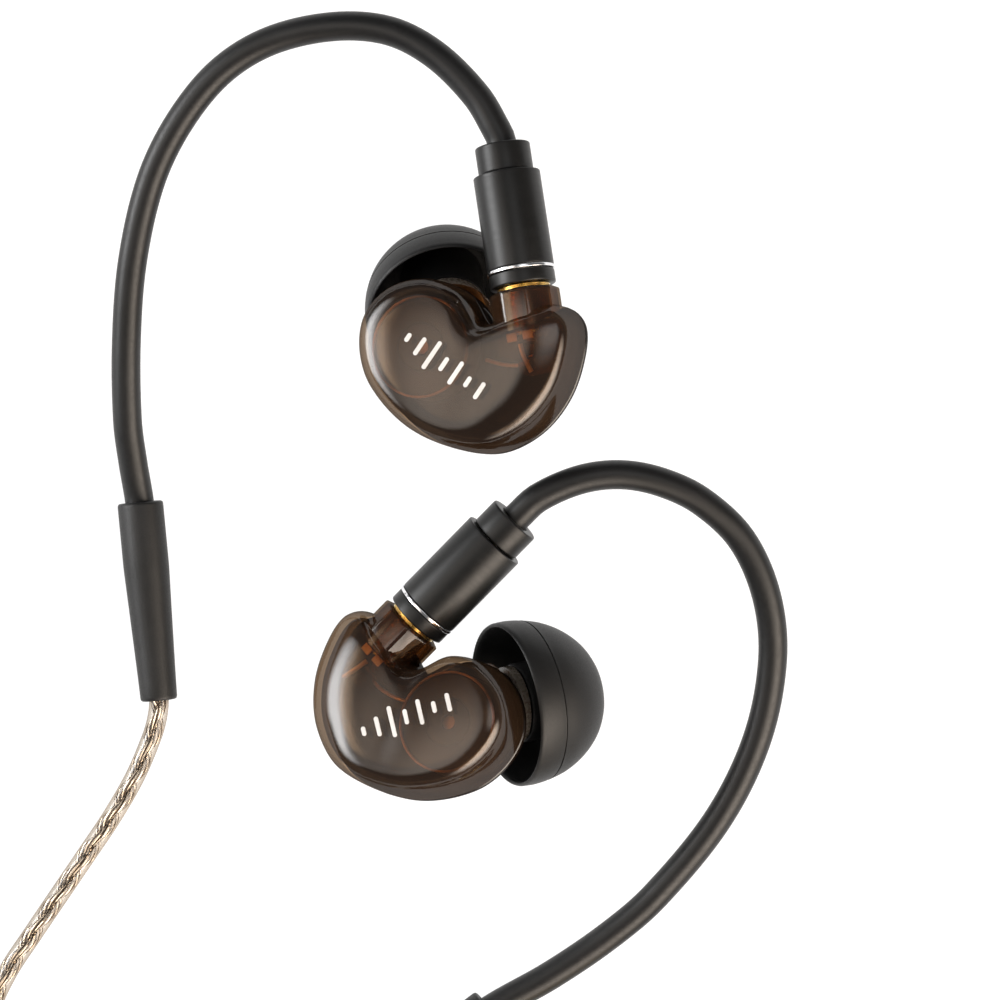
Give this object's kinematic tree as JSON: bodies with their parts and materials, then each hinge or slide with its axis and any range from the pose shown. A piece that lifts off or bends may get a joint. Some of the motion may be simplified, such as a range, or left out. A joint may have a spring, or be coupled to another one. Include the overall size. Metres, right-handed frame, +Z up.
{
  "type": "in-ear monitors",
  "caption": "Over-ear in-ear monitors with translucent shells, silicone tips, formed hooks, detachable connectors and a clear twisted cable with slider, splitter and plug.",
  "frame": {"origin": "centre of the footprint of the two earphones with their hooks and sleeves, on the table that they lie on", "axes": "+Z up from the table, +Y from the coiled cable towards the right earphone, +X towards the left hook's arch"},
  "size_m": [0.0823, 0.1277, 0.0209],
  "materials": {
    "smoke_shell": "glossy translucent smoke brown",
    "black_metal": "matte black anodised",
    "polished_steel": "polished",
    "gold_plate": "gold plated, polished",
    "copper": "bright copper",
    "silicone": "satin black",
    "hook_rubber": "satin black",
    "sleeve_rubber": "matte black, finely textured",
    "clear_jacket": "clear over silver twisted strands",
    "diaphragm_film": "thin film",
    "steel_mesh": "fine woven mesh",
    "driver_metal": "dark satin",
    "magnet_steel": "plated"
  },
  "bodies": {
    "root": {"right_connector_plug": "gold_plate", "right_plug_pin": "gold_plate", "right_end_collar": "black_metal", "right_accent_ring": "polished_steel", "right_barrel": "black_metal", "right_top_collar": "black_metal", "right_ear_hook": "hook_rubber", "right_hook_core": "copper", "right_sleeve": "sleeve_rubber", "right_cable": "clear_jacket", "right_cable_coil": "clear_jacket", "right_cable_tail": "clear_jacket", "left_connector_plug": "gold_plate", "left_plug_pin": "gold_plate", "left_end_collar": "black_metal", "left_accent_ring": "polished_steel", "left_barrel": "black_metal", "left_top_collar": "black_metal", "left_ear_hook": "hook_rubber", "left_hook_core": "copper", "left_sleeve": "sleeve_rubber", "left_cable": "clear_jacket", "left_cable_coil": "clear_jacket", "left_cable_tail": "clear_jacket", "y_splitter": "black_metal", "main_cable": "clear_jacket", "main_cable_coil": "clear_jacket", "main_cable_tail": "clear_jacket", "plug_relief": "sleeve_rubber", "plug_barrel": "black_metal", "jack_sleeve": "gold_plate", "jack_ring": "gold_plate", "jack_tip": "gold_plate"},
    "right_swivel": {"right_snap_ring": "polished_steel"},
    "right_earphone": {"right_outer_shell": "smoke_shell", "right_inner_shell": "smoke_shell", "right_nozzle_mesh": "steel_mesh", "right_driver_basket": "driver_metal", "right_magnet": "magnet_steel", "right_voice_coil": "copper", "right_diaphragm": "diaphragm_film", "right_driver_ring": "copper", "right_socket": "gold_plate", "right_socket_contact": "gold_plate", "right_lead_wire": "copper"},
    "right_tip": {"right_ear_tip": "silicone"},
    "left_swivel": {"left_snap_ring": "polished_steel"},
    "left_earphone": {"left_outer_shell": "smoke_shell", "left_inner_shell": "smoke_shell", "left_nozzle_mesh": "steel_mesh", "left_driver_basket": "driver_metal", "left_magnet": "magnet_steel", "left_voice_coil": "copper", "left_diaphragm": "diaphragm_film", "left_driver_ring": "copper", "left_socket": "gold_plate", "left_socket_contact": "gold_plate", "left_lead_wire": "copper"},
    "left_tip": {"left_ear_tip": "silicone"},
    "slider": {"cable_slider": "black_metal"}
  },
  "joints": [
    {"name": "right_swivel_turn", "type": "hinge", "parent": "root", "child": "right_swivel", "pos_m": [0.00621, 0.02435, 0.01621], "axis": [-0.1467, 0.9794, -0.1391], "continuous": true},
    {"name": "right_unplug", "type": "slide", "parent": "right_swivel", "child": "right_earphone", "axis": [0.1467, -0.9794, 0.1391], "range_m": [0, 0.0035]},
    {"name": "right_tip_pull", "type": "slide", "parent": "right_earphone", "child": "right_tip", "axis": [-0.1218, 0.5542, -0.8234], "range_m": [0, 0.006]},
    {"name": "left_swivel_turn", "type": "hinge", "parent": "root", "child": "left_swivel", "pos_m": [-0.00271, -0.00315, 0.0088], "axis": [0.6932, 0.7072, 0.139], "continuous": true},
    {"name": "left_unplug", "type": "slide", "parent": "left_swivel", "child": "left_earphone", "axis": [-0.6932, -0.7072, -0.139], "range_m": [0, 0.0035]},
    {"name": "left_tip_pull", "type": "slide", "parent": "left_earphone", "child": "left_tip", "axis": [0.9022, 0.1499, -0.4045], "range_m": [0, 0.006]},
    {"name": "slider_travel", "type": "slide", "parent": "root", "child": "slider", "axis": [-1, 0, 0], "range_m": [0, 0.012]}
  ]
}
